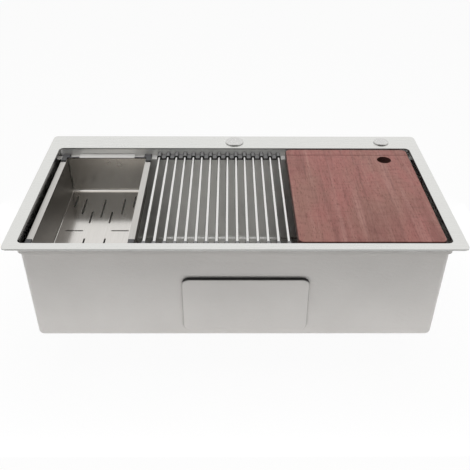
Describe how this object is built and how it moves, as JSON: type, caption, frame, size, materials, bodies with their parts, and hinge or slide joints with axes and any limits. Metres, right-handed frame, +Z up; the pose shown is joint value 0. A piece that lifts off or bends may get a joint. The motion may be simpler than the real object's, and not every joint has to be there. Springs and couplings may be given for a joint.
{
  "type": "drop-in kitchen sink",
  "caption": "Drop-in single-bowl steel kitchen sink with ledges that carry a slotted colander, a roll-up rod rack and a wooden chopping board.",
  "frame": {"origin": "centre of the rim on the plane of the worktop's surface, under the sealing strip", "axes": "+X to the user's right along the rim, +Y to the back, +Z up"},
  "size_m": [0.82, 0.45, 0.3168],
  "materials": {
    "rim_steel": "fine brushed",
    "bowl_steel": "brushed",
    "sound_coat": "sprayed, orange peel",
    "pad_coat": "sprayed, orange peel",
    "seal_foam": "closed-cell foam",
    "cover_steel": "satin",
    "black_rubber": "moulded",
    "white_plastic": "moulded",
    "drain_steel": "polished",
    "washer_fibre": "pressed fibre",
    "nut_plastic": "moulded",
    "colander_steel": "brushed",
    "grey_silicone": "moulded",
    "rod_steel": "polished",
    "black_silicone": "moulded",
    "sapele_wood": "oiled",
    "zinc_steel": "zinc plated"
  },
  "bodies": {
    "sink": {"rim_deck": "rim_steel", "bowl": "bowl_steel", "sound_coat": "sound_coat", "front_sound_pad": "pad_coat", "rear_sound_pad": "pad_coat", "side_sound_pads": "pad_coat", "bottom_sound_pads": "pad_coat", "rim_seal": "seal_foam", "tap_hole_covers": "cover_steel", "cover_gaskets": "black_rubber", "cover_washers": "white_plastic", "cover_nuts": "white_plastic", "drain_body": "drain_steel", "drain_gasket": "black_rubber", "drain_washer": "washer_fibre", "drain_lock_nut": "nut_plastic", "clip_lugs": "zinc_steel", "clip_arms": "zinc_steel", "clip_screws": "zinc_steel"},
    "strainer": {"strainer_basket": "drain_steel", "strainer_post": "drain_steel", "strainer_plug": "black_rubber"},
    "colander": {"colander_basket": "colander_steel", "colander_end_bars": "colander_steel", "colander_corner_blocks": "grey_silicone"},
    "board": {"chopping_board": "sapele_wood"},
    "rack_link_01": {"rack_rod_01": "rod_steel", "rack_sleeves_01": "black_silicone"},
    "rack_link_02": {"rack_rod_02": "rod_steel", "rack_sleeves_02": "black_silicone"},
    "rack_link_03": {"rack_rod_03": "rod_steel", "rack_sleeves_03": "black_silicone"},
    "rack_link_04": {"rack_rod_04": "rod_steel", "rack_sleeves_04": "black_silicone"},
    "rack_link_05": {"rack_rod_05": "rod_steel", "rack_sleeves_05": "black_silicone"},
    "rack_link_06": {"rack_rod_06": "rod_steel", "rack_sleeves_06": "black_silicone"},
    "rack_link_07": {"rack_rod_07": "rod_steel", "rack_sleeves_07": "black_silicone"},
    "rack_link_08": {"rack_rod_08": "rod_steel", "rack_sleeves_08": "black_silicone"},
    "rack_link_09": {"rack_rod_09": "rod_steel", "rack_sleeves_09": "black_silicone"},
    "rack_link_10": {"rack_rod_10": "rod_steel", "rack_sleeves_10": "black_silicone"},
    "rack_link_11": {"rack_rod_11": "rod_steel", "rack_sleeves_11": "black_silicone"},
    "rack_link_12": {"rack_rod_12": "rod_steel", "rack_sleeves_12": "black_silicone"},
    "rack_link_13": {"rack_rod_13": "rod_steel", "rack_sleeves_13": "black_silicone"},
    "rack_link_14": {"rack_rod_14": "rod_steel", "rack_sleeves_14": "black_silicone"},
    "rack_link_15": {"rack_rod_15": "rod_steel", "rack_sleeves_15": "black_silicone"}
  },
  "joints": [
    {"name": "strainer_lift", "type": "slide", "parent": "sink", "child": "strainer", "axis": [0, 0, 1], "range_m": [0, 0.1]},
    {"name": "colander_lift", "type": "slide", "parent": "sink", "child": "colander", "axis": [0, 0, 1], "range_m": [0, 0.13]},
    {"name": "board_lift", "type": "slide", "parent": "sink", "child": "board", "axis": [0, 0, 1], "range_m": [0, 0.08]},
    {"name": "rack_lift", "type": "slide", "parent": "sink", "child": "rack_link_08", "axis": [0, 0, 1], "range_m": [0, 0.08]},
    {"name": "rack_roll", "type": "hinge", "parent": "rack_link_08", "child": "rack_link_09", "pos_m": [-0.02504, 0, -0.0108], "axis": [0, -1, 0], "range_deg": [0, 23]},
    {"name": "rack_roll_07", "type": "hinge", "parent": "rack_link_08", "child": "rack_link_07", "pos_m": [-0.04376, 0, -0.0108], "axis": [0, 1, 0], "range_deg": [0, 23]},
    {"name": "rack_roll_10", "type": "hinge", "parent": "rack_link_09", "child": "rack_link_10", "pos_m": [-0.00633, 0, -0.0108], "axis": [0, -1, 0], "range_deg": [0, 23]},
    {"name": "rack_roll_06", "type": "hinge", "parent": "rack_link_07", "child": "rack_link_06", "pos_m": [-0.06247, 0, -0.0108], "axis": [0, 1, 0], "range_deg": [0, 23]},
    {"name": "rack_roll_11", "type": "hinge", "parent": "rack_link_10", "child": "rack_link_11", "pos_m": [0.01239, 0, -0.0108], "axis": [0, -1, 0], "range_deg": [0, 23]},
    {"name": "rack_roll_05", "type": "hinge", "parent": "rack_link_06", "child": "rack_link_05", "pos_m": [-0.08119, 0, -0.0108], "axis": [0, 1, 0], "range_deg": [0, 23]},
    {"name": "rack_roll_12", "type": "hinge", "parent": "rack_link_11", "child": "rack_link_12", "pos_m": [0.0311, 0, -0.0108], "axis": [0, -1, 0], "range_deg": [0, 23]},
    {"name": "rack_roll_04", "type": "hinge", "parent": "rack_link_05", "child": "rack_link_04", "pos_m": [-0.0999, 0, -0.0108], "axis": [0, 1, 0], "range_deg": [0, 23]},
    {"name": "rack_roll_13", "type": "hinge", "parent": "rack_link_12", "child": "rack_link_13", "pos_m": [0.04981, 0, -0.0108], "axis": [0, -1, 0], "range_deg": [0, 23]},
    {"name": "rack_roll_03", "type": "hinge", "parent": "rack_link_04", "child": "rack_link_03", "pos_m": [-0.11861, 0, -0.0108], "axis": [0, 1, 0], "range_deg": [0, 23]},
    {"name": "rack_roll_14", "type": "hinge", "parent": "rack_link_13", "child": "rack_link_14", "pos_m": [0.06853, 0, -0.0108], "axis": [0, -1, 0], "range_deg": [0, 23]},
    {"name": "rack_roll_02", "type": "hinge", "parent": "rack_link_03", "child": "rack_link_02", "pos_m": [-0.13733, 0, -0.0108], "axis": [0, 1, 0], "range_deg": [0, 23]},
    {"name": "rack_roll_15", "type": "hinge", "parent": "rack_link_14", "child": "rack_link_15", "pos_m": [0.08724, 0, -0.0108], "axis": [0, -1, 0], "range_deg": [0, 23]},
    {"name": "rack_roll_01", "type": "hinge", "parent": "rack_link_02", "child": "rack_link_01", "pos_m": [-0.15604, 0, -0.0108], "axis": [0, 1, 0], "range_deg": [0, 23]}
  ],
  "couplings": [
    {"joint": "rack_roll_07", "follows": "rack_roll", "ratio": 1},
    {"joint": "rack_roll_10", "follows": "rack_roll", "ratio": 1},
    {"joint": "rack_roll_06", "follows": "rack_roll", "ratio": 1},
    {"joint": "rack_roll_11", "follows": "rack_roll", "ratio": 1},
    {"joint": "rack_roll_05", "follows": "rack_roll", "ratio": 1},
    {"joint": "rack_roll_12", "follows": "rack_roll", "ratio": 1},
    {"joint": "rack_roll_04", "follows": "rack_roll", "ratio": 1},
    {"joint": "rack_roll_13", "follows": "rack_roll", "ratio": 1},
    {"joint": "rack_roll_03", "follows": "rack_roll", "ratio": 1},
    {"joint": "rack_roll_14", "follows": "rack_roll", "ratio": 1},
    {"joint": "rack_roll_02", "follows": "rack_roll", "ratio": 1},
    {"joint": "rack_roll_15", "follows": "rack_roll", "ratio": 1},
    {"joint": "rack_roll_01", "follows": "rack_roll", "ratio": 1}
  ]
}
